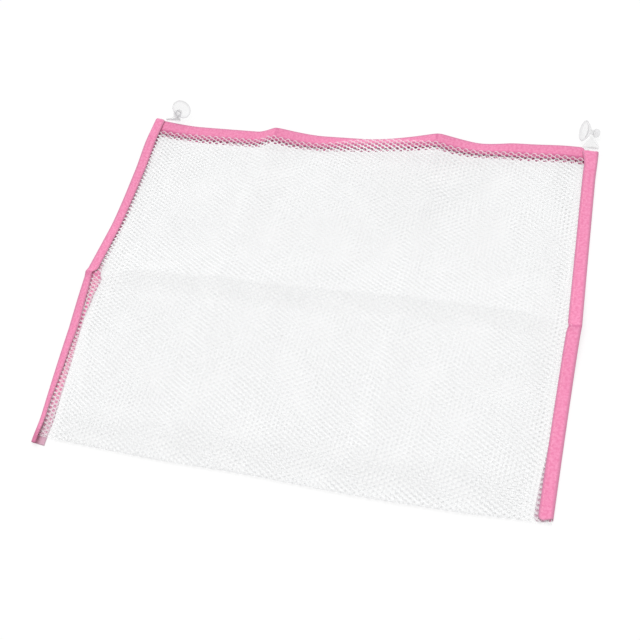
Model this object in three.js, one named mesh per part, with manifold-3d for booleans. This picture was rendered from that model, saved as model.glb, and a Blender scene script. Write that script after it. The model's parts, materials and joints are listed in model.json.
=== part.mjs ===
// Bath toy organizer: a flat net pouch with taped sides, a taped back mouth edge, and two clear suction
// cups held in loops at the mouth corners. The pouch lies on its back as it comes out of its packet, with
// the mouth towards +Y and the front panel up, and still carries the packing creases: one across the
// middle and two lengthwise. Millimetres, +Z up.
import * as THREE from 'three';
import { mergeVertices } from 'three/addons/utils/BufferGeometryUtils.js';
import Module from 'manifold-3d';

const wasm = await Module();
wasm.setup();

// Pouch
const POUCH_WIDTH = 450;
const POUCH_HEIGHT = 375;
const FRONT_DROP = 15; // the front panel's mouth edge lies this far below the back's
const CLEARANCE = 0.3; // between layers that touch

// Net, drawn with wider cells and strands than the real 4.4 mm ones, and still too tight for a toy to leave
const NET_THICKNESS = 0.4;
const CELL_PITCH = 74;
const ROW_PITCH = 20.5;
const STRAND_WIDTH = 13;
const CELL_MARGIN = 1; // plain net between the tapes and the first cells

// Tapes
const TAPE_WIDTH = 12; // side tape, folded
const BAND_WIDTH = 20; // mouth band, folded
const BAND_STEP_RUN = 16; // over which the side tapes open out to take in the band
const TAPE_THICKNESS = 0.5;
const CREASE_TAPE_TILT = 20; // degrees by which the left tape's front half stands open at the cross crease
const BOTTOM_TAPE_TILT = 40; // and at its bottom end

// Packing creases and the way the pouch lies
const CREASE_Y = -5; // the crease across the middle
const LEFT_CREASE_X = -90;
const RIGHT_CREASE_X = 73;
const CREASE_SPREAD = 36; // half the width of a crease's ridge
const CROSS_RIDGE = 5;
const LONG_RIDGE = 3.5;
const LEFT_PEAK = 11; // height of the mouth band where a lengthwise crease meets it
const RIGHT_PEAK = 16;
const LEFT_CORNER_LIFT = 9;
const RIGHT_CORNER_LIFT = 4;
const CORNER_SPREAD = 45;
const MOUTH_FADE = 110; // how far down the pouch the lifts of the mouth reach
const SIDE_LIFT = 5; // height of the side tapes where the cross crease folds them
const SIDE_LIFT_SPREAD = 60;
const LEFT_BULGE = 12; // how far the sides stand out at the cross crease
const RIGHT_BULGE = 7;
const POCKET_LOFT = 8; // stand-off of the front panel from the back
const LOFT_RUN = 38; // over which the front panel rises from its seams
const MOUTH_BOW = 6; // extra rise of the front panel's edge between the creases

// Suction cups
const CUP_RADIUS = 10;
const CUP_HEIGHT = 7;
const CAVITY_DEPTH = 4.4;
const LIP_WIDTH = 1.3;
const LIP_THICKNESS = 0.8;
const NECK_RADIUS = 2.2;
const NECK_LENGTH = 4.6;
const KNOB_RADIUS = 4.2;
const KNOB_LENGTH = 5;
const CUP_SIDES = 24;

// Clear band loops
const LEFT_LOOP_REACH = 11.5; // from the pouch's edge to the cup's neck
const RIGHT_LOOP_REACH = 20;
const LEFT_LOOP_INSET = 17; // of the sewn end's middle from the pouch's side
const RIGHT_LOOP_INSET = 7;
const LOOP_THICKNESS = 0.8;
const LOOP_ROOT_WIDTH = 15;
const LOOP_EYE_WIDTH = 3.5;
const LOOP_EYE_CLEARANCE = 0.4;
const LOOP_BEAD_RADIUS = 1.3; // the sewn end
const LEFT_CUP_YAW = 10; // degrees, the way each cup has rolled
const RIGHT_CUP_YAW = 12;
const LEFT_CUP_TILT = 50; // degrees, how far each knob points down
const RIGHT_CUP_TILT = 24;
const LEFT_CUP_SHIFT = 3; // sideways from the sewn end, towards the middle of the pouch

const HALF_WIDTH = POUCH_WIDTH / 2;
const TOP = POUCH_HEIGHT / 2;
const LAYER = TAPE_THICKNESS + CLEARANCE;
const NET_LAYER = NET_THICKNESS + CLEARANCE;
const NET_EDGE = HALF_WIDTH - LAYER; // the panels' side edges, inside the folded tapes
const NET_TOP = TOP - LAYER; // the back panel's edge, inside the folded band
const TAPE_INNER = HALF_WIDTH - TAPE_WIDTH;
const FRAME_X = TAPE_INNER - CELL_MARGIN; // the cells start inside these lines
const FRAME_Y = TOP - BAND_WIDTH - CELL_MARGIN;
const STEP_START = FRAME_Y - BAND_STEP_RUN; // the side tapes open out here to take in the band

const clamp01 = (t) => Math.min(1, Math.max(0, t));
const smooth = (t) => clamp01(t) ** 2 * (3 - 2 * clamp01(t));
const ridge = (t) => Math.max(0, 1 - Math.abs(t));

// Stations along X and Y, shared by every layer so that the layers stay parallel where they are sewn
const evenly = (from, to, count) =>
  Array.from({ length: count + 1 }, (_, i) => from + ((to - from) * i) / count);
const sorted = (values) =>
  [...values].sort((a, b) => a - b).filter((v, i, all) => i === 0 || v - all[i - 1] > 0.5);
const CORNER_FOOT = HALF_WIDTH - CORNER_SPREAD;
const ACROSS = sorted([
  ...evenly(-FRAME_X, -CORNER_FOOT, 3),
  ...evenly(-CORNER_FOOT, LEFT_CREASE_X - CREASE_SPREAD, 4),
  ...evenly(LEFT_CREASE_X - CREASE_SPREAD, LEFT_CREASE_X + CREASE_SPREAD, 6),
  ...evenly(LEFT_CREASE_X + CREASE_SPREAD, RIGHT_CREASE_X - CREASE_SPREAD, 6),
  ...evenly(RIGHT_CREASE_X - CREASE_SPREAD, RIGHT_CREASE_X + CREASE_SPREAD, 6),
  ...evenly(RIGHT_CREASE_X + CREASE_SPREAD, CORNER_FOOT, 4),
  ...evenly(CORNER_FOOT, FRAME_X, 3),
]);
const ALONG = sorted([
  ...evenly(-TOP, CREASE_Y - SIDE_LIFT_SPREAD, 4),
  ...evenly(CREASE_Y - SIDE_LIFT_SPREAD, CREASE_Y + SIDE_LIFT_SPREAD, 6),
  ...evenly(CREASE_Y + SIDE_LIFT_SPREAD, STEP_START, 8),
  FRAME_Y,
]);

// How much the stack opens where the side tapes fold over the mouth band
const bandStep = (y) => clamp01((y - STEP_START) / (FRAME_Y - STEP_START)) * LAYER;

// The lift that all layers share
function lift(x, y) {
  const mouth = smooth((y - (FRAME_Y - MOUTH_FADE)) / MOUTH_FADE);
  const peaks =
    LEFT_PEAK * ridge((x - LEFT_CREASE_X) / CREASE_SPREAD) +
    RIGHT_PEAK * ridge((x - RIGHT_CREASE_X) / CREASE_SPREAD) +
    LEFT_CORNER_LIFT * clamp01((-x - CORNER_FOOT) / CORNER_SPREAD) +
    RIGHT_CORNER_LIFT * clamp01((x - CORNER_FOOT) / CORNER_SPREAD);
  const side = clamp01((Math.abs(x) - CORNER_FOOT) / CORNER_SPREAD);
  const fold = Math.max(0, 1 - Math.abs(y - CREASE_Y) / SIDE_LIFT_SPREAD);
  return mouth * peaks + SIDE_LIFT * side * fold;
}

// Puts a point of the flat stack where it lies on the table
function lay(x, y, z) {
  const span = y > CREASE_Y ? TOP - CREASE_Y : TOP + CREASE_Y;
  const bulge = (x < 0 ? LEFT_BULGE : RIGHT_BULGE) * (1 - Math.abs(y - CREASE_Y) / span);
  return [x * (1 + bulge / HALF_WIDTH), y, z + lift(x, y)];
}

// How far the front panel stands off the back one
function loft(x, y) {
  const sides = smooth((FRAME_X - Math.abs(x)) / LOFT_RUN);
  const bottom = smooth((y + TOP) / LOFT_RUN);
  const mouth = smooth((y - (FRAME_Y - MOUTH_FADE)) / MOUTH_FADE);
  const middle = (LEFT_CREASE_X + RIGHT_CREASE_X) / 2;
  const bow = MOUTH_BOW * mouth * ridge((x - middle) / (RIGHT_CREASE_X - middle));
  const creases =
    CROSS_RIDGE * ridge((y - CREASE_Y) / CREASE_SPREAD) +
    LONG_RIDGE * ridge((x - LEFT_CREASE_X) / CREASE_SPREAD) +
    LONG_RIDGE * ridge((x - RIGHT_CREASE_X) / CREASE_SPREAD);
  return sides * bottom * (POCKET_LOFT + creases + bow);
}

// A closed body from its points and triangles, turned so that its faces point out
function body(points, triangles) {
  let volume = 0;
  const corner = points.map((p) => new THREE.Vector3(...p));
  for (const [a, b, c] of triangles) {
    volume += corner[a].dot(new THREE.Vector3().crossVectors(corner[b], corner[c]));
  }
  const geometry = new THREE.BufferGeometry();
  geometry.setAttribute('position', new THREE.Float32BufferAttribute(points.flat(), 3));
  geometry.setIndex(triangles.flatMap(([a, b, c]) => (volume < 0 ? [a, c, b] : [a, b, c])));
  geometry.computeVertexNormals();
  return geometry;
}

// A sheet with thickness over a flat triangulation: both faces, and walls along every free edge
function sheetBody(flat, faces, under, over) {
  const count = flat.length;
  const points = [...flat.map(([x, y]) => under(x, y)), ...flat.map(([x, y]) => over(x, y))];
  const triangles = [];
  const used = new Set();
  for (const [a, b, c] of faces) {
    triangles.push([a, c, b], [a + count, b + count, c + count]);
    used.add(`${a},${b}`).add(`${b},${c}`).add(`${c},${a}`);
  }
  for (const edge of used) {
    const [a, b] = edge.split(',').map(Number);
    if (!used.has(`${b},${a}`)) {
      triangles.push([a, b, b + count], [a, b + count, a + count]);
    }
  }
  return body(points, triangles);
}

// Rings of points joined one after another and closed at both ends by the section's own outline there
function loftBody(rings, section, endSection = section) {
  if (THREE.ShapeUtils.isClockWise(section)) {
    return loftBody(
      rings.map((ring) => [...ring].reverse()),
      [...section].reverse(),
      [...endSection].reverse(),
    );
  }
  const size = section.length;
  const triangles = [];
  for (let r = 0; r + 1 < rings.length; r += 1) {
    for (let i = 0; i < size; i += 1) {
      const a = r * size + i;
      const b = r * size + ((i + 1) % size);
      triangles.push([a, b, b + size], [a, b + size, a + size]);
    }
  }
  const last = (rings.length - 1) * size;
  for (const [a, b, c] of THREE.ShapeUtils.triangulateShape(section, [])) {
    triangles.push([a, c, b]);
  }
  for (const [a, b, c] of THREE.ShapeUtils.triangulateShape(endSection, [])) {
    triangles.push([a + last, b + last, c + last]);
  }
  return body(rings.flat(), triangles);
}

// Keeps the part of a convex outline on the inner side of a line along X or Y
function trimmed(outline, axis, limit, side) {
  const kept = [];
  outline.forEach((p, i) => {
    const q = outline[(i + 1) % outline.length];
    const dp = side * (limit - p[axis]);
    const dq = side * (limit - q[axis]);
    if (dp >= 0) kept.push(p);
    if (dp * dq < 0) {
      const t = dp / (dp - dq);
      kept.push([p[0] + (q[0] - p[0]) * t, p[1] + (q[1] - p[1]) * t]);
    }
  });
  return kept;
}

function area(outline) {
  return Math.abs(THREE.ShapeUtils.area(outline.map(([x, y]) => new THREE.Vector2(x, y))));
}

function centre(outline) {
  const mean = (axis) => outline.reduce((sum, p) => sum + p[axis], 0) / outline.length;
  return [mean(0), mean(1)];
}

function clipped(outline, left, right, low, high) {
  let kept = trimmed(outline, 0, right, 1);
  kept = trimmed(kept, 0, left, -1);
  kept = trimmed(kept, 1, high, 1);
  return trimmed(kept, 1, low, -1);
}

// A six-sided cell with points up and down, drawn in from its neighbours by an inset
function cell(x, y, inset) {
  const half = CELL_PITCH / 2;
  const tip = (2 / 3) * ROW_PITCH;
  const w = half - inset;
  const top = tip - inset * (Math.hypot(half, tip / 2) / half);
  const shoulder = top - w * (tip / 2 / half);
  return [
    [x, y - top],
    [x + w, y - shoulder],
    [x + w, y + shoulder],
    [x, y + top],
    [x - w, y + shoulder],
    [x - w, y - shoulder],
  ];
}

// Adds the shared stations to an outline where it runs along the border of the cells
function withStations(outline) {
  const near = (a, b) => Math.abs(a - b) < 1e-6;
  return outline.flatMap((p, i) => {
    const q = outline[(i + 1) % outline.length];
    const upright = near(p[0], q[0]) && near(Math.abs(p[0]), FRAME_X);
    const level = near(p[1], q[1]) && (near(p[1], -TOP) || near(p[1], FRAME_Y));
    if (!upright && !level) return [p];
    const run = upright ? 1 : 0;
    const between = (upright ? ALONG : ACROSS).filter(
      (v) => v > Math.min(p[run], q[run]) + 1e-3 && v < Math.max(p[run], q[run]) - 1e-3,
    );
    if (q[run] < p[run]) between.reverse();
    return [p, ...between.map((v) => (upright ? [p[0], v] : [v, p[1]]))];
  });
}

// Triangles between two rows of points that run the same way, each with a place along the run
function zipped(rowA, rowB) {
  const faces = [];
  let a = 0;
  let b = 0;
  while (a + 1 < rowA.length || b + 1 < rowB.length) {
    const stepA = a + 1 < rowA.length ? rowA[a + 1].run : Infinity;
    const stepB = b + 1 < rowB.length ? rowB[b + 1].run : Infinity;
    if (stepA < stepB) {
      faces.push([rowA[a].id, rowA[a + 1].id, rowB[b].id]);
      a += 1;
    } else {
      faces.push([rowA[a].id, rowB[b + 1].id, rowB[b].id]);
      b += 1;
    }
  }
  return faces;
}

// One panel as a flat triangulation: staggered rows of cells, and a plain border under the tapes
function netPanel(panelTop) {
  const flat = [];
  const known = new Map();
  const at = (x, y) => {
    const key = `${x.toFixed(3)},${y.toFixed(3)}`;
    if (!known.has(key)) {
      known.set(key, flat.length);
      flat.push([x, y]);
    }
    return known.get(key);
  };
  const faces = [];
  const around = (outline, x, y) => {
    const angle = (p) => Math.atan2(p[1] - y, p[0] - x);
    const ring = outline.map((p) => ({ id: at(...p), run: angle(p) }));
    ring.sort((a, b) => a.run - b.run);
    return [...ring, { id: ring[0].id, run: ring[0].run + 2 * Math.PI }];
  };
  const inset = STRAND_WIDTH / 2;
  const rows = Math.ceil((FRAME_Y + TOP) / ROW_PITCH);
  const columns = Math.ceil(FRAME_X / CELL_PITCH) + 1;
  for (let row = 0; row <= rows; row += 1) {
    for (let column = -columns; column <= columns; column += 1) {
      const x = (column + (row % 2) / 2) * CELL_PITCH;
      const y = -TOP + (row + 0.5) * ROW_PITCH;
      const whole = clipped(cell(x, y, 0), -FRAME_X, FRAME_X, -TOP, FRAME_Y);
      if (whole.length < 3 || area(whole) < 1e-3) continue;
      const gap = clipped(
        cell(x, y, inset),
        inset - FRAME_X,
        FRAME_X - inset,
        inset - TOP,
        FRAME_Y - inset,
      );
      const open = gap.length > 2 && area(gap) > area(cell(x, y, inset)) / 4;
      const [cx, cy] = open ? centre(gap) : centre(whole);
      const rim = around(withStations(whole), cx, cy);
      const inner = open ? around(gap, cx, cy) : [{ id: at(cx, cy), run: 0 }];
      faces.push(...zipped(rim, inner));
    }
  }
  const along = (points, run) =>
    points.map((p) => ({ id: at(...p), run: p[run] })).sort((a, b) => a.run - b.run);
  const border = (axis, value) => flat.filter((p) => Math.abs(p[axis] - value) < 1e-6);
  const rightRow = along([...border(0, FRAME_X), [FRAME_X, panelTop]], 1);
  const leftRow = along([...border(0, -FRAME_X), [-FRAME_X, panelTop]], 1);
  const topRow = along(border(1, FRAME_Y), 0);
  const edge = (x) => along([...ALONG, panelTop].map((y) => [x, y]), 1);
  faces.push(...zipped(edge(NET_EDGE), rightRow));
  faces.push(...zipped(leftRow, edge(-NET_EDGE)));
  faces.push(...zipped(topRow, along(ACROSS.map((x) => [x, panelTop]), 0)));
  return { flat, faces };
}

function backNet() {
  const { flat, faces } = netPanel(NET_TOP);
  const low = LAYER;
  return sheetBody(
    flat,
    faces,
    (x, y) => lay(x, y, low),
    (x, y) => lay(x, y, low + NET_THICKNESS),
  );
}

function frontNet() {
  const { flat, faces } = netPanel(TOP - FRONT_DROP);
  const low = (x, y) => LAYER + NET_LAYER + bandStep(y) + loft(x, y);
  return sheetBody(
    flat,
    faces,
    (x, y) => lay(x, y, low(x, y)),
    (x, y) => lay(x, y, low(x, y) + NET_THICKNESS),
  );
}

// A tape folded in two round an edge: depth in from the fold, and height between two levels, with its
// upper half turned up about the fold by a tilt
function foldedTape(width, low, high, tilt = 0) {
  const t = TAPE_THICKNESS;
  const half = width - LAYER;
  const upper = (drop) => [
    LAYER + half * Math.cos(tilt) + drop * Math.sin(tilt),
    high + half * Math.sin(tilt) - drop * Math.cos(tilt),
  ];
  const round = (inset) =>
    evenly(-Math.PI / 2, Math.PI / 2, 6).map((a) => [
      inset + (LAYER - inset) * (1 - Math.cos(a)),
      (low + high) / 2 + ((high - low) / 2 - inset) * Math.sin(a),
    ]);
  const outer = round(0);
  const inner = round(t).reverse();
  return [[width, low], ...outer, upper(0), upper(t), ...inner, [width, low + t]];
}

// How far the left tape's front half has sprung open, strongest at the bottom end
function tapeTilt(y) {
  const below = clamp01((CREASE_Y - y) / (TOP + CREASE_Y));
  const above = clamp01((y - CREASE_Y) / SIDE_LIFT_SPREAD);
  const tilt = CREASE_TAPE_TILT * (1 - above) + (BOTTOM_TAPE_TILT - CREASE_TAPE_TILT) * below;
  return THREE.MathUtils.degToRad(tilt);
}

function sideTape(side) {
  const stations = [...ALONG, TOP - FRONT_DROP, NET_TOP, TOP];
  const stack = LAYER + 2 * NET_LAYER + TAPE_THICKNESS;
  const open = side < 0 ? 1 : 0;
  const sections = sorted(stations).map((y) => ({
    y,
    outline: foldedTape(TAPE_WIDTH, -bandStep(y), stack + bandStep(y), open * tapeTilt(y)),
  }));
  const rings = sections.map(({ y, outline }) =>
    outline.map(([depth, z]) => lay(side * (HALF_WIDTH - depth), y, z)),
  );
  const caps = [sections[0], sections[sections.length - 1]].map(({ outline }) =>
    outline.map(([u, v]) => new THREE.Vector2(u, v)),
  );
  return loftBody(rings, ...caps);
}

function mouthBand() {
  const outline = foldedTape(BAND_WIDTH, 0, 2 * LAYER + NET_THICKNESS);
  const stations = [-NET_EDGE, ...ACROSS, NET_EDGE];
  const rings = stations.map((x) => outline.map(([depth, z]) => lay(x, TOP - depth, z)));
  return loftBody(rings, outline.map(([u, v]) => new THREE.Vector2(u, v)));
}

// Suction cup, turned: the mouth at the foot of the axis, then the bell, the neck and the knob
function cupProfile() {
  const bell = new THREE.QuadraticBezierCurve(
    new THREE.Vector2(CUP_RADIUS, LIP_THICKNESS),
    new THREE.Vector2(CUP_RADIUS * 0.62, CUP_HEIGHT * 0.78),
    new THREE.Vector2(NECK_RADIUS, CUP_HEIGHT),
  );
  const inside = new THREE.QuadraticBezierCurve(
    new THREE.Vector2(0, CAVITY_DEPTH),
    new THREE.Vector2(CUP_RADIUS * 0.55, CAVITY_DEPTH),
    new THREE.Vector2(CUP_RADIUS - LIP_WIDTH, 0),
  );
  const knob = new THREE.QuadraticBezierCurve(
    new THREE.Vector2(KNOB_RADIUS, KNOB_LENGTH * 0.3),
    new THREE.Vector2(KNOB_RADIUS, KNOB_LENGTH),
    new THREE.Vector2(0, KNOB_LENGTH),
  );
  const knobFoot = CUP_HEIGHT + NECK_LENGTH;
  return [
    ...inside.getPoints(6),
    new THREE.Vector2(CUP_RADIUS, 0),
    ...bell.getPoints(6),
    new THREE.Vector2(NECK_RADIUS, knobFoot),
    new THREE.Vector2(KNOB_RADIUS * 0.86, knobFoot),
    ...knob.getPoints(5).map((p) => new THREE.Vector2(p.x, p.y + knobFoot)),
  ];
}

const NECK_PLACE = CUP_HEIGHT + NECK_LENGTH / 2;
const CUP_PROFILE = cupProfile();

// Where a cup lies on the table: the knob outward, its neck a loop's reach from the pouch's edge
function cupPose(side, { yaw, tilt, reach, inset, shift }) {
  const [turn, dip] = [yaw, tilt].map(THREE.MathUtils.degToRad);
  const axis = new THREE.Vector3(
    side * Math.cos(dip) * Math.cos(turn),
    Math.cos(dip) * Math.sin(turn),
    -Math.sin(dip),
  );
  const sewn = HALF_WIDTH - inset;
  const drop = Math.max(
    ...CUP_PROFILE.map((p) => (p.y - NECK_PLACE) * Math.sin(dip) + p.x * Math.cos(dip)),
  );
  const neck = new THREE.Vector3(side * (sewn - shift), TOP + reach, CLEARANCE + drop);
  const [, , corner] = lay(side * sewn, TOP, 0);
  const root = new THREE.Vector3(
    side * sewn,
    TOP + CLEARANCE + LOOP_BEAD_RADIUS,
    corner + (LAYER + 2 * NET_LAYER + TAPE_THICKNESS) / 2,
  );
  return { axis, neck, root };
}

function solidOf(geometry) {
  const plain = geometry.clone();
  plain.deleteAttribute('normal');
  plain.deleteAttribute('uv');
  const merged = mergeVertices(plain, 1e-4);
  const mesh = new wasm.Mesh({
    numProp: 3,
    vertProperties: new Float32Array(merged.attributes.position.array),
    triVerts: new Uint32Array(merged.index.array),
  });
  return new wasm.Manifold(mesh);
}

function geometryOf(solid) {
  const mesh = solid.getMesh();
  const geometry = new THREE.BufferGeometry();
  geometry.setAttribute('position', new THREE.BufferAttribute(mesh.vertProperties, 3));
  geometry.setIndex(new THREE.BufferAttribute(mesh.triVerts, 1));
  geometry.computeVertexNormals();
  return geometry;
}

// Clear band loop: two legs from the sewn bead to the neck and an eye round it
function bandLoop({ axis, neck, root }) {
  const across = new THREE.Vector3(1, 0, 0);
  const eyeAcross = axis.clone().multiplyScalar(Math.sign(axis.x));
  const reach = neck.clone().sub(root);
  const out = reach.clone().addScaledVector(eyeAcross, -reach.dot(eyeAcross)).normalize();
  const up = new THREE.Vector3().crossVectors(eyeAcross, out);
  const radius = NECK_RADIUS + LOOP_EYE_CLEARANCE + LOOP_THICKNESS / 2;
  const legGap = LOOP_THICKNESS * 0.75;
  const distance = Math.hypot(reach.length(), legGap);
  const turn = Math.PI - Math.atan2(legGap, reach.length()) - Math.acos(radius / distance);
  const eye = evenly(turn, -turn, 16).map((angle) => ({
    place: neck
      .clone()
      .addScaledVector(out, radius * Math.cos(angle))
      .addScaledVector(up, radius * Math.sin(angle)),
    across: eyeAcross,
    width: LOOP_EYE_WIDTH,
  }));
  const narrow = 1 - (KNOB_RADIUS + LOOP_THICKNESS) / reach.length();
  const leg = (end, side) =>
    [0, 0.5, 1].map((t) => ({
      place: root.clone().addScaledVector(up, side * legGap).lerp(end.place, t * narrow),
      across: across.clone().lerp(eyeAcross, t).normalize(),
      width: LOOP_ROOT_WIDTH + (LOOP_EYE_WIDTH - LOOP_ROOT_WIDTH) * t,
    }));
  const path = [...leg(eye[0], 1), ...eye, ...leg(eye[eye.length - 1], -1).reverse()];
  const corners = [
    new THREE.Vector2(-1, -1),
    new THREE.Vector2(1, -1),
    new THREE.Vector2(1, 1),
    new THREE.Vector2(-1, 1),
  ];
  const rings = path.map((station, i) => {
    const before = path[Math.max(0, i - 1)].place;
    const after = path[Math.min(path.length - 1, i + 1)].place;
    const along = after.clone().sub(before).normalize();
    const face = new THREE.Vector3().crossVectors(along, station.across).normalize();
    return corners.map((corner) =>
      station.place
        .clone()
        .addScaledVector(station.across, (corner.x * station.width) / 2)
        .addScaledVector(face, (corner.y * LOOP_THICKNESS) / 2)
        .toArray(),
    );
  });
  const bead = new THREE.CylinderGeometry(LOOP_BEAD_RADIUS, LOOP_BEAD_RADIUS, LOOP_ROOT_WIDTH, 16);
  bead.rotateZ(Math.PI / 2).translate(root.x, root.y, root.z);
  return geometryOf(solidOf(loftBody(rings, corners)).add(solidOf(bead)));
}

const whiteNet = new THREE.MeshStandardMaterial({ color: '#f4f5f7', roughness: 0.8, metalness: 0 });
const pinkTape = new THREE.MeshStandardMaterial({ color: '#f58ab4', roughness: 0.85, metalness: 0 });
const clearPvc = new THREE.MeshStandardMaterial({
  color: '#dfe6ea',
  roughness: 0.15,
  metalness: 0,
  transparent: true,
  opacity: 0.5,
});

const pouch = new THREE.Group();
function piece(name, geometry, material) {
  const mesh = new THREE.Mesh(geometry, material);
  mesh.name = name;
  pouch.add(mesh);
  return mesh;
}

const LEFT_HANG = {
  yaw: LEFT_CUP_YAW,
  tilt: LEFT_CUP_TILT,
  reach: LEFT_LOOP_REACH,
  inset: LEFT_LOOP_INSET,
  shift: LEFT_CUP_SHIFT,
};
const RIGHT_HANG = {
  yaw: RIGHT_CUP_YAW,
  tilt: RIGHT_CUP_TILT,
  reach: RIGHT_LOOP_REACH,
  inset: RIGHT_LOOP_INSET,
  shift: 0,
};

piece('back_net', backNet(), whiteNet);
piece('front_net', frontNet(), whiteNet);
piece('mouth_band', mouthBand(), pinkTape);
for (const [name, side, hang] of [
  ['left', -1, LEFT_HANG],
  ['right', 1, RIGHT_HANG],
]) {
  piece(`${name}_side_tape`, sideTape(side), pinkTape);
  const pose = cupPose(side, hang);
  piece(`${name}_cup_loop`, bandLoop(pose), clearPvc);
  const turned = new THREE.LatheGeometry(CUP_PROFILE, CUP_SIDES);
  const cup = piece(`${name}_suction_cup`, turned, clearPvc);
  cup.quaternion.setFromUnitVectors(new THREE.Vector3(0, 1, 0), pose.axis);
  cup.position.copy(pose.neck).addScaledVector(pose.axis, -NECK_PLACE);
}

// The origin lies on the table, under the middle of the whole part
const extent = new THREE.Box3().setFromObject(pouch, true);
const middle = extent.getCenter(new THREE.Vector3());
pouch.position.set(-middle.x, -middle.y, -extent.min.z);

export default pouch;
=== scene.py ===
# %% [markdown]
# # A net pouch for bath toys
# The real thing is a flat pouch of stiff white net that lets wet toys drain. Pink tape is folded over
# its sides and over the back edge of its mouth, and a clear suction cup hangs in a band loop at each
# upper corner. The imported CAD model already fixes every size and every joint, so this lesson only dresses
# it: each soft solid is replaced by a finer piece that lies where the solid lies and rides on its body.

# %% Load the frame
import json
import math

import bmesh
import bpy
from mathutils import Matrix, Vector, noise


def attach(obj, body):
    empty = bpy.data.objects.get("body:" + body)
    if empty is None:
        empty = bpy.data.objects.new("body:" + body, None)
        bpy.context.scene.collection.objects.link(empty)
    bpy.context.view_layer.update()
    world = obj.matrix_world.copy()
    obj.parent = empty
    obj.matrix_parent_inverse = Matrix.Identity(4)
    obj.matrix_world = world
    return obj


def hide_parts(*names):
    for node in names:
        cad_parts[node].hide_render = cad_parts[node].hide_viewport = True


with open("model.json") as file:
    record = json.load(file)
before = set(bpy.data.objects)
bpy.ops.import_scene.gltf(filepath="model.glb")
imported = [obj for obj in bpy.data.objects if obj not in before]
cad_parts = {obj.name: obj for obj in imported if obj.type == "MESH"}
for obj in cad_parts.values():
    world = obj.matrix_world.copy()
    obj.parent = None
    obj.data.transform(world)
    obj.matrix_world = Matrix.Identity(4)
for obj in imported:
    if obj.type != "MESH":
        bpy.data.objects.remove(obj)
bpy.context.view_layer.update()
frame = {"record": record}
joints = {joint["name"]: joint for joint in frame["record"]["behaviour"]["joints"]}

# %% [markdown]
# ## Where everything lies
# The pouch was packed folded, so it still shows a crease across its middle and two creases down its
# length, and its sides stand out a little where the cross crease bends them. These forms could be sculpted
# by hand, but net, tape and thread all have to follow them together. So they are written once, as small
# functions in millimetres that say how high the flat pouch lifts at any point, and every soft piece below
# is first made flat and then laid through the same functions.

# %% Sizes of the pouch in millimetres
MM = 0.001
POUCH_MIDDLE = Vector((2.5, -14.079, 0.0))  # the pouch's middle in the frame, because the cups add to its top
HALF_WIDTH = 225.0
TOP = 187.5
TAPE_WIDTH = 12.0
BAND_WIDTH = 17.4
TAPE_THICKNESS = 0.5
LAYER = 0.8  # a tape's thickness and the air beside it
FRAME_X, FRAME_Y = 212.0, 166.5  # the tapes bind the net beyond these and leave it free within them
STEP_START = 150.5  # from here up to FRAME_Y the upper layers step over the band

CREASE_Y = -5.0
LEFT_CREASE_DIP, RIGHT_CREASE_DIP = 3.5, 6.0  # the cross crease runs lower through the side tapes
DIP_FOOT, DIP_RUN = 150.0, 60.0
LEFT_CREASE_X, RIGHT_CREASE_X = -90.0, 73.0
CROSS_RIDGE, CROSS_RUN_UP, CROSS_RUN_DOWN = 6.5, 42.0, 20.0  # steeper on the side towards the bottom
CROSS_SHARPNESS = 1.3
LONG_RIDGE, LONG_SPREAD = 4.2, 20.0
LONG_FADE = 0.9  # the share of the long creases that is lost at the mouth
MOUTH_FADE = 110.0
MOUTH_SAG = 2.5  # the mouth's edge dips between its corners
SIDE_LIFT, SIDE_LIFT_SPREAD = 5.0, 60.0
CORNER_FOOT, CORNER_SPREAD = 180.0, 45.0
LEFT_BULGE, RIGHT_BULGE = 12.0, 4.6
# How fully the sides curve above the cross crease, and below it on the left and on the right
UPPER_BELLY, LEFT_BELLY, RIGHT_BELLY = 0.95, 1.5, 0.65
# The upper corners also stand out a little: how far, from what height and over what run
LEFT_FLARE, RIGHT_FLARE = (1.8, 120.0, 40.0), (0.9, 150.0, 35.0)
POCKET_LOFT, LOFT_RUN = 7.5, 38.0
MOUTH_LOFT = 3.0  # the front panel sinks back towards the band at its edge
MOUTH_BOW, BOW_X, BOW_SPREAD = 8.0, 15.0, 68.0  # but bows forward in the middle

# Waves along the mouth: where each crests, how high, how far it runs to the left and to the right, and
# whether its crest is a crease
MOUTH_WAVES = ((-225.0, 6.5, 1.0, 45.0, True), (-92.0, 8.0, 18.0, 45.0, True), (74.0, 15.0, 72.0, 60.0, True),
               (152.0, 4.0, 40.0, 60.0, False), (203.0, 3.4, 40.0, 24.0, False))
# Between the waves both panels swell below the band, so it leans back: middle, height and half width of each
SWELLS = ((10.0, 5.5, 85.0), (118.0, 3.5, 35.0))
SWELL_RUN = 18.0
CREST_ROUND, CREST_SHARPNESS = 4.0, 1.6  # the crests are a little rounded, and their sides hollow
# The mouth's edge also reaches a little higher up the pouch near its right corner
SHOULDER_RISE, SHOULDER_FOOT, SHOULDER_RUN = 2.6, 105.0, 40.0
SHOULDER_END, SHOULDER_FALL = 222.0, 10.0
print("pouch is", 2 * HALF_WIDTH, "by", 2 * TOP, "mm")


# %% Functions that lay a flat piece on the creased pouch
def clamp(t):
    return min(1.0, max(0.0, t))


def ease(t):
    t = clamp(t)
    return t * t * (3 - 2 * t)


def ridge(t):
    return max(0.0, 1 - abs(t))


def mouth(y):
    return ease((y - (FRAME_Y - MOUTH_FADE)) / MOUTH_FADE)


def crease_height(x):
    """Where the cross crease lies along the pouch."""
    left, right = (ease((outwards - DIP_FOOT) / DIP_RUN) for outwards in (-x, x))
    return CREASE_Y - LEFT_CREASE_DIP * left - RIGHT_CREASE_DIP * right


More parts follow.
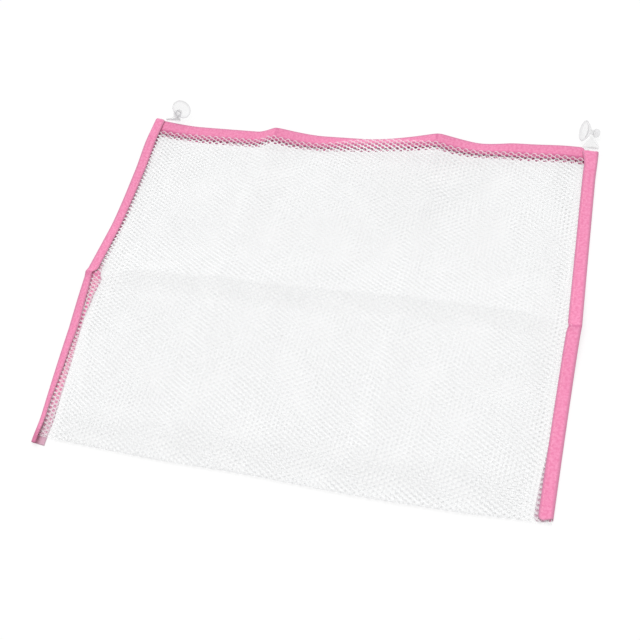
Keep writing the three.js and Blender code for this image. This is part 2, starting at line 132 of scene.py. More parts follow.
def lift(x, y):
    """How high the whole pouch stands off the table."""
    waves = 0.0
    for crest, height, run_left, run_right, creased in MOUTH_WAVES:
        away = math.hypot(x - crest, CREST_ROUND) - CREST_ROUND
        t = clamp(away / (run_left if x < crest else run_right))
        waves += height * ((1 - t) ** CREST_SHARPNESS if creased else 1 - ease(t))
    for middle, height, spread in SWELLS:
        waves += height * ease((TOP - y) / SWELL_RUN) * (1 - ease(abs(x - middle) / spread))
    edge = clamp((abs(x) - CORNER_FOOT) / CORNER_SPREAD)
    return mouth(y) * waves + SIDE_LIFT * edge * ridge((y - crease_height(x)) / SIDE_LIFT_SPREAD)


def loft(x, y):
    """How high the front panel stands off the back one."""
    seams = ease((FRAME_X - abs(x)) / LOFT_RUN) * ease((y + TOP) / LOFT_RUN)
    away = y - crease_height(x)
    creases = CROSS_RIDGE * ridge(away / (CROSS_RUN_UP if away > 0 else CROSS_RUN_DOWN)) ** CROSS_SHARPNESS
    for crease in (LEFT_CREASE_X, RIGHT_CREASE_X):
        creases += LONG_RIDGE * (1 - LONG_FADE * mouth(y)) * ridge((x - crease) / LONG_SPREAD)
    pocket = POCKET_LOFT + (MOUTH_LOFT - POCKET_LOFT) * mouth(y)
    bow = MOUTH_BOW * mouth(y) * (1 - ease(abs(x - BOW_X) / BOW_SPREAD))
    return seams * (pocket + creases + bow)


def band_step(y):
    return clamp((y - STEP_START) / (FRAME_Y - STEP_START)) * LAYER


def lay(x, y, z):
    """A point of the flat pouch, in millimetres, to its place in the frame, in metres."""
    crease = crease_height(x)
    if y > crease:
        span, belly = TOP - crease, UPPER_BELLY
    else:
        span, belly = TOP + crease, LEFT_BELLY if x < 0 else RIGHT_BELLY
    bulge = (LEFT_BULGE if x < 0 else RIGHT_BULGE) * (1 - (abs(y - crease) / span) ** belly)
    flare, foot, run = LEFT_FLARE if x < 0 else RIGHT_FLARE
    bulge += flare * ease((y - foot) / run)
    shoulder = SHOULDER_RISE * ease((x - SHOULDER_FOOT) / SHOULDER_RUN) * ease((SHOULDER_END - x) / SHOULDER_FALL)
    sag = MOUTH_SAG * (1 - (x / HALF_WIDTH) ** 2)
    point = Vector((x * (1 + bulge / HALF_WIDTH), y + (shoulder - sag) * mouth(y), z + lift(x, y)))
    return (point + POUCH_MIDDLE) * MM


print("left mouth corner lies at", [round(1000 * c, 1) for c in lay(-HALF_WIDTH, TOP, 0)])

# %% [markdown]
# ## Camera, floor and light
# The pouch lies on a white table and is seen from above its lower right side. The camera's turn, height and
# roll were worked out from the pouch's four corners, so they are written here as angles. A real studio would
# use a light tent, which leaves hardly any shadow: a bright world does that, and one broad, distant lamp
# beyond the mouth gives the creases a little shade. The floor shows the camera mostly plain white, but part
# of it stays an ordinary diffuse surface, so the pouch keeps its soft contact shadow.

# %% Camera
VIEW_TURN, VIEW_HEIGHT, VIEW_ROLL = (math.radians(a) for a in (-27.124, 56.568, -16.770))
VIEW_TARGET = Vector((3.446, -43.124, 0.0)) * MM
VIEW_DISTANCE = 946.175 * MM
FOCAL_LENGTH, SENSOR_WIDTH, NEAREST = 59.02, 36.0, 0.01  # millimetres, and metres for the nearest thing seen

forward = Vector((math.sin(VIEW_TURN) * math.cos(VIEW_HEIGHT),
                  math.cos(VIEW_TURN) * math.cos(VIEW_HEIGHT), -math.sin(VIEW_HEIGHT)))
level = Vector((math.cos(VIEW_TURN), -math.sin(VIEW_TURN), 0.0))
upright = level.cross(forward)
right = level * math.cos(VIEW_ROLL) + upright * math.sin(VIEW_ROLL)
above = upright * math.cos(VIEW_ROLL) - level * math.sin(VIEW_ROLL)

lens = bpy.data.cameras.new("camera")
lens.lens, lens.sensor_width, lens.clip_start = FOCAL_LENGTH, SENSOR_WIDTH, NEAREST
camera = bpy.data.objects.new("camera", lens)
camera.matrix_world = Matrix.Translation(VIEW_TARGET - forward * VIEW_DISTANCE) @ Matrix(
    (right, above, -forward)).transposed().to_4x4()
bpy.context.scene.collection.objects.link(camera)
bpy.context.scene.camera = camera
bpy.context.scene.view_settings.view_transform = "Standard"
print("camera at", [round(c, 3) for c in camera.location])


# %% Helpers for colours and nodes
def linear(code):
    """An sRGB hex colour as the linear RGBA that Blender's sockets take."""
    parts = [int(code[i:i + 2], 16) / 255 for i in (1, 3, 5)]
    return [p / 12.92 if p <= 0.04045 else ((p + 0.055) / 1.055) ** 2.4 for p in parts] + [1.0]


def add(tree, kind, inputs=None, **settings):
    """Adds a node; an input that is a socket gets a link, any other one is set as a value."""
    node = tree.nodes.new(kind)
    for name, value in settings.items():
        setattr(node, name, value)
    for name, value in (inputs or {}).items():
        if isinstance(value, bpy.types.NodeSocket):
            tree.links.new(value, node.inputs[name])
        else:
            node.inputs[name].default_value = value
    return node


def new_material(name):
    material = bpy.data.materials.new(name)
    material.use_nodes = True
    material.node_tree.nodes.clear()
    return material, material.node_tree


print("plain mid grey is", [round(c, 3) for c in linear("#808080")])

# %% White table
PLAIN_WHITE = 0.74  # the share of the table that shows the lens plain white
TABLE_HALF, TABLE_DROP = 6.0, 0.0002  # metres; the table lies a hair below the frame's floor


def seen_directly(tree):
    """1 for rays from the lens, mirrors and clear plastic, 0 for rays that carry light."""
    path = add(tree, "ShaderNodeLightPath")
    shiny = add(tree, "ShaderNodeMath", {0: path.outputs["Is Camera Ray"], 1: path.outputs["Is Glossy Ray"]},
                operation="MAXIMUM")
    clear = add(tree, "ShaderNodeMath", {0: shiny.outputs[0], 1: path.outputs["Is Transmission Ray"]},
                operation="MAXIMUM")
    return clear.outputs[0]


paper, tree = new_material("matt white table paper")
matt = add(tree, "ShaderNodeBsdfDiffuse", {"Color": linear("#FFFFFF")})
plain = add(tree, "ShaderNodeEmission", {"Color": linear("#FFFFFF"), "Strength": 1.0})
share = add(tree, "ShaderNodeMath", {0: seen_directly(tree), 1: PLAIN_WHITE}, operation="MULTIPLY")
both = add(tree, "ShaderNodeMixShader", {0: share.outputs[0], 1: matt.outputs[0], 2: plain.outputs[0]})
add(tree, "ShaderNodeOutputMaterial", {"Surface": both.outputs[0]})

bm = bmesh.new()
bmesh.ops.create_grid(bm, x_segments=1, y_segments=1, size=TABLE_HALF)
bmesh.ops.translate(bm, verts=bm.verts, vec=(0, 0, -TABLE_DROP))
sheet = bpy.data.meshes.new("table")
bm.to_mesh(sheet)
bm.free()
sheet.materials.append(paper)
table = bpy.data.objects.new("table", sheet)
bpy.context.scene.collection.objects.link(table)
print("table is", 2 * TABLE_HALF, "m wide")

# %% World and lamp
WORLD_LEVEL = 0.62
KEY_LEVEL = 1.58  # watts on a square metre that faces the lamp
LAMP_SPREAD = math.radians(50)
LAMP_AIM = Vector((0.3, -0.8, -1.5))

world = bpy.data.worlds.new("light tent")
world.use_nodes = True
tree = world.node_tree
tree.nodes.clear()
tent = add(tree, "ShaderNodeBackground", {"Color": linear("#FFFFFF"), "Strength": WORLD_LEVEL})
backdrop = add(tree, "ShaderNodeBackground", {"Color": linear("#FFFFFF"), "Strength": 1.0})
both = add(tree, "ShaderNodeMixShader", {0: seen_directly(tree), 1: tent.outputs[0], 2: backdrop.outputs[0]})
add(tree, "ShaderNodeOutputWorld", {"Surface": both.outputs[0]})
bpy.context.scene.world = world

lamp = bpy.data.lights.new("key", "SUN")
lamp.energy, lamp.angle = KEY_LEVEL, LAMP_SPREAD
key = bpy.data.objects.new("key", lamp)
key.rotation_euler = LAMP_AIM.to_track_quat("-Z", "Y").to_euler()
bpy.context.scene.collection.objects.link(key)
print("world level", WORLD_LEVEL, "and key lamp of", KEY_LEVEL, "W per square metre")


# %% [markdown]
# ## Materials
# Three finishes make the whole object. The net is warp-knitted from white polyester yarn, so its strands are
# matt and slightly fuzzy and let a little light through. The tape is plain-woven polyester: matt pink with
# fine ribs, a slightly darker selvedge at each edge, and a soft sheen. Painted shade darkens its fold, its
# creases and where it lies under the net, and painted light turns the bindings' back halves pale grey where they
# show. The cups and loops are clear soft PVC, glossy where the mould was polished and a touch hazy, with painted
# grey shade at their edges. Each could be one colour, but cloth without its ribs reads as plastic, so the
# patterns are drawn from UV maps in millimetres that follow the cloth.

# %% White knitted polyester yarn
BUNDLES = 420.0  # to a metre, so one every 2.4 mm
LET_THROUGH = 0.15  # the share of the light that the yarn lets through
yarn, tree = new_material("white knitted polyester net")
# Yarn scatters light evenly; bundles of filaments lie a little closer here and there, which mottles the white.
where = add(tree, "ShaderNodeTexCoord")
bundles = add(tree, "ShaderNodeTexNoise", {"Vector": where.outputs["Object"], "Scale": BUNDLES, "Detail": 2.0})
white = add(tree, "ShaderNodeMix", {0: bundles.outputs["Fac"], 6: linear("#FAFBFC"), 7: linear("#FFFFFF")},
            data_type="RGBA")
fuzz = add(tree, "ShaderNodeBump", {"Height": bundles.outputs["Fac"], "Strength": 0.25, "Distance": 0.0002})
knit = add(tree, "ShaderNodeBsdfPrincipled", {
    "Base Color": white.outputs[2], "Roughness": 0.72, "Sheen Weight": 0.12, "Sheen Roughness": 0.5,
    "Specular IOR Level": 0.35, "Normal": fuzz.outputs[0]})
through = add(tree, "ShaderNodeBsdfTranslucent", {"Color": linear("#FCFCFC"), "Normal": fuzz.outputs[0]})
both = add(tree, "ShaderNodeMixShader", {0: LET_THROUGH, 1: knit.outputs[0], 2: through.outputs[0]})
# Where the net lies over pink tape, its yarn is loose enough for the pink to show through it.
loose = add(tree, "ShaderNodeAttribute", attribute_name="loose")
gaps = add(tree, "ShaderNodeBsdfTransparent", {"Color": linear("#FFFFFF")})
drawn = add(tree, "ShaderNodeMixShader", {0: loose.outputs["Fac"], 1: both.outputs[0], 2: gaps.outputs[0]})
add(tree, "ShaderNodeOutputMaterial", {"Surface": drawn.outputs[0]})
print("material:", yarn.name)

# %% Pink woven tape
RIB = 1.1  # mm between ribs; the real ones are about 0.5 mm apart, which a picture of this size can't show
SPOTS = 0.42  # to a millimetre, so one every 2.4 mm
pink, tree = new_material("pink woven polyester tape")
# The UV map holds millimetres: across the tape from its free edge, and along it.
weave = add(tree, "ShaderNodeUVMap", uv_map="weave")
axes = add(tree, "ShaderNodeSeparateXYZ", {0: weave.outputs[0]})
ribs = []
for axis in ("X", "Y"):
    turn = add(tree, "ShaderNodeMath", {0: axes.outputs[axis], 1: 2 * math.pi / RIB}, operation="MULTIPLY")
    ribs.append(add(tree, "ShaderNodeMath", {0: turn.outputs[0]}, operation="SINE").outputs[0])
check = add(tree, "ShaderNodeMath", {0: ribs[0], 1: ribs[1]}, operation="MULTIPLY")
half = add(tree, "ShaderNodeMath", {0: check.outputs[0], 1: 0.5, 2: 0.5}, operation="MULTIPLY_ADD")
# Dye takes unevenly, in spots, because the yarn is spun thick and thin.
spots = add(tree, "ShaderNodeTexNoise", {
    "Vector": weave.outputs[0], "Scale": SPOTS, "Detail": 3.0, "Roughness": 0.6})
uneven = add(tree, "ShaderNodeMapRange", {"Value": spots.outputs["Fac"], "From Min": 0.4, "From Max": 0.6})
dyed = add(tree, "ShaderNodeMix", {0: uneven.outputs[0], 6: linear("#E97AA8"), 7: linear("#FFA7CC")},
           data_type="RGBA")
ribbed = add(tree, "ShaderNodeMix", {0: half.outputs[0], 6: linear("#F18DB5"), 7: dyed.outputs[2]},
             data_type="RGBA")
# Both edges of the folded tape are painted darker and greyer: at the free edge this is its tighter-woven selvedge,
# at the fold it is painted shade where the tape turns away.
rim = add(tree, "ShaderNodeAttribute", attribute_name="edge")
selvedge_and_fold_shade = add(tree, "ShaderNodeMapRange", {
    "Value": rim.outputs["Fac"], "From Min": 2.0, "From Max": 0.5, "To Max": 0.9})
# Each crease across the tape is painted with a darker line, a painted shade along the crease; it breaks up where
# the spots are pale.
fold = add(tree, "ShaderNodeAttribute", attribute_name="crease")
drift = add(tree, "ShaderNodeMath", {0: spots.outputs["Fac"], 1: 3.0, 2: fold.outputs["Fac"]},
            operation="MULTIPLY_ADD")
crease_shade = add(tree, "ShaderNodeMapRange", {
    "Value": drift.outputs[0], "From Min": 3.6, "From Max": 2.0, "To Max": 0.45})
# Where the tape is doubled over and lies under the net it is painted darker: a painted shade.
painted_shade = add(tree, "ShaderNodeAttribute", attribute_name="painted_shade")
# The back halves of the side bindings are painted a pale grey where they show, painted light in place of the shade
# they lie in.
painted_pale = add(tree, "ShaderNodeAttribute", attribute_name="painted_pale")
# Each of these lies over the one before it.
tape_colour = ribbed.outputs[2]
for cover, code in ((selvedge_and_fold_shade.outputs[0], "#D584A6"), (crease_shade.outputs[0], "#CF6A97"),
                    (painted_shade.outputs["Fac"], "#B9527F"), (painted_pale.outputs["Fac"], "#CDB2BF")):
    tape_colour = add(tree, "ShaderNodeMix", {0: cover, 6: tape_colour, 7: linear(code)}, data_type="RGBA").outputs[2]
threads = add(tree, "ShaderNodeBump", {"Height": half.outputs[0], "Strength": 0.5, "Distance": 0.0002})
cloth = add(tree, "ShaderNodeBsdfPrincipled", {
    "Base Color": tape_colour, "Roughness": 0.8, "Sheen Weight": 0.2, "Sheen Roughness": 0.45,
    "Specular IOR Level": 0.3, "Normal": threads.outputs[0]})
add(tree, "ShaderNodeOutputMaterial", {"Surface": cloth.outputs[0]})
print("material:", pink.name)

# %% Pink sewing thread
TWISTS = 260.0  # a wave of this scale turns every 1.2 mm, coarser than real thread so that it can show
thread, tree = new_material("pink polyester sewing thread")
# Twisted thread shines a little more than the tape and is a shade lighter.
where = add(tree, "ShaderNodeTexCoord")
twist = add(tree, "ShaderNodeTexWave", {"Vector": where.outputs["Object"], "Scale": TWISTS, "Distortion": 1.5})
lay_of_thread = add(tree, "ShaderNodeMix", {0: twist.outputs["Fac"], 6: linear("#F492B8"), 7: linear("#FFB6D0")},
                    data_type="RGBA")
strand = add(tree, "ShaderNodeBsdfPrincipled", {
    "Base Color": lay_of_thread.outputs[2], "Roughness": 0.55, "Sheen Weight": 0.2})
add(tree, "ShaderNodeOutputMaterial", {"Surface": strand.outputs[0]})
print("material:", thread.name)

# %% Clear soft PVC
HAZE_PATCHES = 120.0  # to a metre, so one every 8 mm
clear, tree = new_material("clear moulded PVC")
# Plasticised PVC is clear where it is thin and seen face on and milky where it is thick, with a soft gloss and a
# faint haze from the mould. Its milk is painted a mid grey and shows more at a slant: a painted shade for the
# dark edges that clear plastic shows.
where = add(tree, "ShaderNodeTexCoord")
haze = add(tree, "ShaderNodeTexNoise", {"Vector": where.outputs["Object"], "Scale": HAZE_PATCHES, "Detail": 1.0})
rough = add(tree, "ShaderNodeMapRange", {"Value": haze.outputs["Fac"], "To Min": 0.12, "To Max": 0.28})
milk_and_edge_shade = add(tree, "ShaderNodeMix", {0: haze.outputs["Fac"], 6: linear("#B4B2B8"), 7: linear("#CFCDD2")},
           data_type="RGBA")
pvc = add(tree, "ShaderNodeBsdfPrincipled", {
    "Base Color": milk_and_edge_shade.outputs[2], "Roughness": rough.outputs[0], "IOR": 1.53, "Coat Weight": 0.3})
see = add(tree, "ShaderNodeBsdfTransparent", {"Color": linear("#FDFDFD")})
slant = add(tree, "ShaderNodeLayerWeight", {"Blend": 0.3})
slant_shade = add(tree, "ShaderNodeMapRange", {
    "Value": slant.outputs["Facing"], "From Min": 0.4, "To Min": 0.01, "To Max": 0.7})
thick = add(tree, "ShaderNodeAttribute", attribute_name="thick")
body = add(tree, "ShaderNodeMath", {0: thick.outputs["Fac"], 1: slant_shade.outputs[0]},
           operation="ADD", use_clamp=True)
both = add(tree, "ShaderNodeMixShader", {0: body.outputs[0], 1: see.outputs[0], 2: pvc.outputs[0]})
add(tree, "ShaderNodeOutputMaterial", {"Surface": both.outputs[0]})
print("material:", clear.name)


# %% [markdown]
# ## From a bmesh to a piece
# Every new piece ends the same way: its bmesh becomes an object at the origin, gets its finish, rides on a
# body and, where it stands for a CAD node, hides that node. One helper keeps those calls together.

# %% Helper that finishes a piece
def finish_piece(name, bm, material, body, replaced=()):
    mesh = bpy.data.meshes.new(name)
    bm.to_mesh(mesh)
    bm.free()
    mesh.materials.append(material)
    mesh.shade_smooth()
    piece = bpy.data.objects.new(name, mesh)
    bpy.context.scene.collection.objects.link(piece)
    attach(piece, body)
    if replaced:
        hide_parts(*replaced)
    print(name, "has", sum(len(f.vertices) - 2 for f in mesh.polygons), "triangles")
    return piece


# %% [markdown]
# ## The net
# The real net is warp-knitted with six-sided holes, 4.45 mm high and repeating every 7.1 mm across. A
# transparent texture could fake it, but the pink tape shows through the holes, the two panels make their own
# moire, and the edge against the band is a row of real strands. So one cell is drawn as a circle of six sides,
# copied into a honeycomb and trimmed to the panel, and each cell is inset. The pouch pulls the net on the bias,
# so every hole is then drawn out along a diagonal before it is deleted, which leaves a strand round it. The old
# corners of the cells run along the strands' middles, so raising them rounds the strands.

# %% Net sizes
CELL_HEIGHT = 4.45
CELL_REPEAT = 7.12  # across, two columns of cells
STRAND = 1.1
DRAWN_LONG, DRAWN_NARROW = 1.23, 0.83  # how much longer and narrower the pull makes a hole
EDGE_STRAND = 0.8  # the front panel's mouth edge is stretched, so its strands are drawn thinner
EDGE_LONG, EDGE_NARROW = 1.08, 0.82
EDGE_ROWS = 2.2  # the rows of cells, counted down from that edge, that are stretched
OPEN_SHARE = 0.45  # a trimmed cell smaller than this share of a whole one stays closed
MERGE_DISTANCE = 0.02
STRAND_CROWN = 0.3  # the middle of a strand stands this much higher than its edges
FRONT_EDGE_DROP = 12.4  # the front panel's mouth edge below the back's, measured along the net
LOOSE = 0.45  # the share of the tape's pink that shows through the strands over it
FRONT_REST, BACK_REST = 1.7, 1.0
NET_EDGE = 224.2
NET_TOP = 186.7
FOLD_RADIUS = 1.0
print("a cell of the net covers", round(CELL_HEIGHT * CELL_REPEAT / 2, 1), "square mm")


# %% A flat honeycomb
def repeat(bm, step, count):
    """Copies all that is in the mesh along a step."""
    first = bm.verts[:] + bm.edges[:] + bm.faces[:]
    for k in range(1, count):
        copy = bmesh.ops.duplicate(bm, geom=first)["geom"]
        bmesh.ops.translate(bm, vec=Vector(step) * k, verts=[g for g in copy if isinstance(g, bmesh.types.BMVert)])


def flat_net(low, high, turn, bias, along_cells):
    """A flat panel of net from one height to another, its rows turned by a few degrees.

    Its holes are drawn out along the diagonal that rises (bias 1) or falls (-1) to the right. Its upper edge
    is cut straight through the cells, or zigzags along whole ones.
    """
    bm = bmesh.new()
    reach = math.hypot(HALF_WIDTH, TOP) + 2 * CELL_HEIGHT
    for column in (0, 1):
        cell = bmesh.ops.create_circle(bm, cap_ends=True, segments=6, radius=CELL_HEIGHT / math.sqrt(3))["verts"]
        bmesh.ops.rotate(bm, verts=cell, cent=(0, 0, 0), matrix=Matrix.Rotation(math.pi / 2, 3, "Z"))
        bmesh.ops.scale(bm, verts=cell, vec=(CELL_REPEAT / (math.sqrt(3) * CELL_HEIGHT), 1, 1))
        bmesh.ops.translate(bm, verts=cell, vec=(column * CELL_REPEAT / 2, column * CELL_HEIGHT / 2, 0))
    slant = abs(math.radians(turn)) * reach
    width, height = 2 * (NET_EDGE + slant), high - low + 2 * slant
    repeat(bm, (0, CELL_HEIGHT, 0), math.ceil(height / CELL_HEIGHT) + 2)
    repeat(bm, (CELL_REPEAT, 0, 0), math.ceil(width / CELL_REPEAT) + 2)
    bmesh.ops.remove_doubles(bm, verts=bm.verts, dist=MERGE_DISTANCE)
    start = (-width / 2 - CELL_HEIGHT, (low - high) / 2 - slant - CELL_HEIGHT, 0)
    bmesh.ops.translate(bm, verts=bm.verts, vec=start)
    bmesh.ops.rotate(bm, verts=bm.verts, cent=(0, 0, 0), matrix=Matrix.Rotation(math.radians(turn), 3, "Z"))
    bmesh.ops.translate(bm, verts=bm.verts, vec=(0, (low + high) / 2, 0))
    cut_height = high + 2 * CELL_HEIGHT if along_cells else high
    for place, out in (((NET_EDGE, 0, 0), (1, 0, 0)), ((-NET_EDGE, 0, 0), (-1, 0, 0)),
                       ((0, cut_height, 0), (0, 1, 0)), ((0, low, 0), (0, -1, 0))):
        bmesh.ops.bisect_plane(bm, geom=bm.verts[:] + bm.edges[:] + bm.faces[:], dist=1e-4,
                               plane_co=place, plane_no=out, clear_outer=True)
    bmesh.ops.recalc_face_normals(bm, faces=bm.faces)
    if sum(f.normal.z for f in bm.faces) < 0:
        bmesh.ops.reverse_faces(bm, faces=bm.faces)
    middles = bm.verts[:]
    within = [f for f in bm.faces if not along_cells or f.calc_center_median().y < high - CELL_HEIGHT / 2]
    kept = {v for f in within for v in f.verts}
    whole = CELL_HEIGHT * CELL_REPEAT / 2
    open_cells = [f for f in bm.faces if f.calc_area() > OPEN_SHARE * whole]
    stretch_start = high - EDGE_ROWS * CELL_HEIGHT
    stretched = [f for f in open_cells if along_cells and f.calc_center_median().y > stretch_start]
    at_edge = set(stretched)
    even = [f for f in open_cells if f not in at_edge]
    bmesh.ops.inset_individual(bm, faces=stretched, thickness=EDGE_STRAND / 2, use_even_offset=True)
    bmesh.ops.inset_individual(bm, faces=even, thickness=STRAND / 2, use_even_offset=True)
    diagonal = Vector((CELL_REPEAT, bias * CELL_HEIGHT, 0)).normalized()
    for hole in open_cells:
        centre = hole.calc_center_median()
        longer, narrower = (EDGE_LONG, EDGE_NARROW) if hole in at_edge else (DRAWN_LONG, DRAWN_NARROW)
        for vert in hole.verts:
            along = diagonal * (vert.co - centre).dot(diagonal)
            vert.co = centre + along * longer + (vert.co - centre - along) * narrower
    bmesh.ops.delete(bm, geom=open_cells, context="FACES")
    old = set(middles)
    beyond = [f for f in bm.faces if any(v in old and v not in kept for v in f.verts)]
    bmesh.ops.delete(bm, geom=beyond, context="FACES")
    for vert in middles:
        if vert.is_valid:
            vert.co.z = STRAND_CROWN
    return bm


# %% How the net's edges run
FOLD_Y = -186.1
LEFT_RISE, LEFT_RISE_FOOT, LEFT_RISE_RUN, LEFT_RISE_CURVE = 6.4, 90.0, 132.0, 1.3
RIGHT_SINK, RIGHT_SINK_FOOT, RIGHT_SINK_RUN = 4.9, -60.0, 160.0
RIGHT_RISE, RIGHT_RISE_FOOT, RIGHT_RISE_RUN = 2.1, 150.0, 60.0
CORNER_TURN, CORNER_TURN_FOOT, CORNER_TURN_RUN = 6.5, 209.0, 6.0
GATHER_X, GATHER_Y = -216.0, -182.0
WRINKLES, WRINKLE_HEIGHT = 16, 0.9
WRINKLE_START, WRINKLE_GROW, WRINKLE_END, WRINKLE_FADE = 4.0, 8.0, 38.0, 26.0  # measured from the corner


def fold_line(x):
    """Height of the bottom fold, which draws up towards the left tape and sinks towards the right one."""
    left = LEFT_RISE * clamp((-x - LEFT_RISE_FOOT) / LEFT_RISE_RUN) ** LEFT_RISE_CURVE
    right = RIGHT_SINK * ease((x - RIGHT_SINK_FOOT) / RIGHT_SINK_RUN)
    return FOLD_Y + left - right + RIGHT_RISE * ease((x - RIGHT_RISE_FOOT) / RIGHT_RISE_RUN)


def corner_drop(x):
    """How far the back's mouth edge is turned down inside the right tape's end."""
    return CORNER_TURN * ease((x - CORNER_TURN_FOOT) / CORNER_TURN_RUN)


def pucker(x, y):
    """The lower left corner is gathered where it is sewn, so small wrinkles fan out from it."""
    from_corner = Vector((x - GATHER_X, y - GATHER_Y))
    reach = from_corner.length
    fan = math.sin(WRINKLES * math.atan2(from_corner.y, from_corner.x + 1))
    rising, falling = ease((reach - WRINKLE_START) / WRINKLE_GROW), ease((WRINKLE_END - reach) / WRINKLE_FADE)
    return WRINKLE_HEIGHT * fan * rising * falling


print("the bottom fold runs at", [round(fold_line(x), 1) for x in (-FRAME_X, 0, FRAME_X)], "mm")

# %% Laying a panel
WAVER, WAVER_SPAN = 1.4, 85.0
SLACK, SLACK_SPAN = 1.1, 60.0  # the front panel lies a little loose
SEAM_MARGIN, MOUTH_MARGIN = 20.0, 30.0  # seams hold the net still this far in
PRESSED_RADIUS, PRESSED_RUN = 0.35, 30.0  # the side tapes press the bottom fold flatter
FOLD_FADE = 60.0
LOOSE_AT_BAND, LOOSE_AT_SIDE = (11.0, 4.0), (7.0, 5.0)  # how far in from an edge, and over what run


def waver(x, y, seed):
    """Knitting is never quite even, so rows drift by about a millimetre over a hand's width."""
    x, y = x / WAVER_SPAN, y / WAVER_SPAN
    return noise.noise(Vector((x, y, seed))), noise.noise(Vector((x, y, seed + 40)))


def net_point(x, y, crown, seed, front):
    drift_x, drift_y = waver(x, y, seed)
    inside = clamp((FRAME_X - abs(x)) / SEAM_MARGIN) * clamp((y + TOP) / SEAM_MARGIN)
    inside *= clamp((TOP - y) / MOUTH_MARGIN)
    x, y = x + WAVER * drift_x * inside, y + WAVER * drift_y * inside
    radius = PRESSED_RADIUS + (FOLD_RADIUS - PRESSED_RADIUS) * ease((FRAME_X - abs(x)) / PRESSED_RUN)
    from_fold = y + TOP
    turn = min(from_fold / radius, math.pi / 2)
    rise = radius * math.sin(turn)
    run = radius * (1 - math.cos(turn)) + max(0.0, from_fold - radius * math.pi / 2)
    y = fold_line(x) + run * (TOP - fold_line(x)) / (2 * TOP)
    fade = ease(1 - from_fold / FOLD_FADE)
    if front:
        slack = SLACK * noise.noise(Vector((x / SLACK_SPAN, y / SLACK_SPAN, seed + 80))) * inside + pucker(x, y)
        z = FRONT_REST + band_step(y) + loft(x, y) + slack + fade * (rise + radius - (FRONT_REST - BACK_REST))
    else:
        y -= corner_drop(x) * clamp((y - TOP + BAND_WIDTH) / BAND_WIDTH)
        z = BACK_REST + fade * (radius - rise)
    return lay(x, y, z + (crown if front else -crown))


def net_panel(name, high, turn, seed, front, node):
    bm = flat_net(-TOP, high, turn, -1 if front else 1, front)
    area = sum(f.calc_area() for f in bm.faces) * MM * MM
    loose = bm.verts.layers.float.new("loose")
    for vert in bm.verts:
        x, y = vert.co.xy
        depth, run = LOOSE_AT_BAND
        at_band = ease((y - high + depth) / run) if front else 0.0
        depth, run = LOOSE_AT_SIDE
        at_side = 0.0 if x < 0 < y else ease((abs(x) - FRAME_X + depth) / run)
        vert[loose] = LOOSE * max(at_band, at_side)
        vert.co = net_point(x, y, vert.co.z, seed, front)
    if not front:
        bmesh.ops.reverse_faces(bm, faces=bm.faces)
    panel = finish_piece(name, bm, yarn, "pouch", (node,))
    print(name, "strands cover", round(area * 1e6 / (2 * NET_EDGE * (high + TOP)), 2), "of the panel")
    return panel


BACK_TURN, FRONT_TURN = -4.0, 0.0  # degrees that the rows are turned by
BACK_SEED, FRONT_SEED = 3.0, 9.0
net_panel("back_panel_net", NET_TOP, BACK_TURN, BACK_SEED, False, "back_net")
net_panel("front_panel_net", TOP - FRONT_EDGE_DROP, FRONT_TURN, FRONT_SEED, True, "front_net")

# %% [markdown]
# ## Folded tapes
# Each tape is one flat strip, folded lengthwise round the edge that it binds and sewn through. A strip could
# be modelled already folded, but starting flat keeps its true width and gives the weave its
# UV map for nothing: a grid is made, its flat millimetres become UVs, and then each point is carried round the
# fold. The left binding is folded off its middle below the cross crease, and stands open at its bottom end.

# %% Round the fold
FOLD_SHADE = 0.9  # the fold is painted darkest this far to each side, a painted shade where the tape turns
TAPE_COLUMNS, BINDING_ROWS, BAND_ROWS = 32, 300, 260


def round_fold(distance, radius, open_angle=0.0):
    """Depth from the fold and height from the tape's middle, at a distance along the flat tape from its fold."""
    quarter = radius * math.pi / 2
    p = abs(distance)
    if p < quarter:
        depth, rise = radius * (1 - math.cos(p / radius)), radius * math.sin(p / radius)
    else:
        flat = p - quarter
        depth = radius + flat * math.cos(open_angle)
        rise = radius + flat * math.sin(open_angle)
    return depth, math.copysign(rise, distance)


def flat_strip(half, length, columns, rows, creases, shade_of):
    """A flat strip with its fold at x = 0, whose UV map holds millimetres from the free edge, and along.

    More attributes hold each point's distance from the tape's edges and from the creases across it, how much
    painted shade it gets, which shade_of(across, along, from the free edge) gives, and how much painted pale grey
    it gets.
    """
    bm = bmesh.new()
    bmesh.ops.create_grid(bm, x_segments=columns, y_segments=rows, size=1.0)
    bmesh.ops.scale(bm, verts=bm.verts, vec=(half, length / 2, 1))
    weave = bm.loops.layers.uv.new("weave")
    edge, crease, painted_shade, painted_pale = (bm.verts.layers.float.new(name) for name in ("edge", "crease", "painted_shade", "painted_pale"))
    for face in bm.faces:
        for loop in face.loops:
            loop[weave].uv = (half - abs(loop.vert.co.x), loop.vert.co.y)
    for vert in bm.verts:
        from_edge, from_fold = half - abs(vert.co.x), abs(vert.co.x)
        vert[edge] = min(from_edge, max(0.0, from_fold - FOLD_SHADE))
        vert[crease] = min(abs(vert.co.y - place) for place in creases)
        vert[painted_shade] = shade_of(vert.co.x, vert.co.y, from_edge)
        vert[painted_pale] = 0.0
    return bm


def thicken(piece, thickness):
    solid = piece.modifiers.new("thickness", "SOLIDIFY")
    solid.thickness, solid.offset = thickness, 0.0


# %% How the side bindings are folded
STACK = 2.4  # from the underside of a side tape to its top
BINDING_HALF = 11.6  # how far each half of a binding reaches in from its fold
LEFT_FRONT_WIDTHS = ((187.5, 10.0), (-1.0, 9.4), (-13.0, 6.8), (-30.0, 7.6), (-60.0, 8.6), (-100.0, 7.2),
                     (-150.0, 4.9), (-187.5, 6.4))
LEFT_BACK_WIDTHS = ((187.5, 11.8), (-1.0, 11.8), (-13.0, 15.8), (-35.0, 13.0), (-60.0, 11.0), (-110.0, 12.2),
                    (-187.5, 12.6))
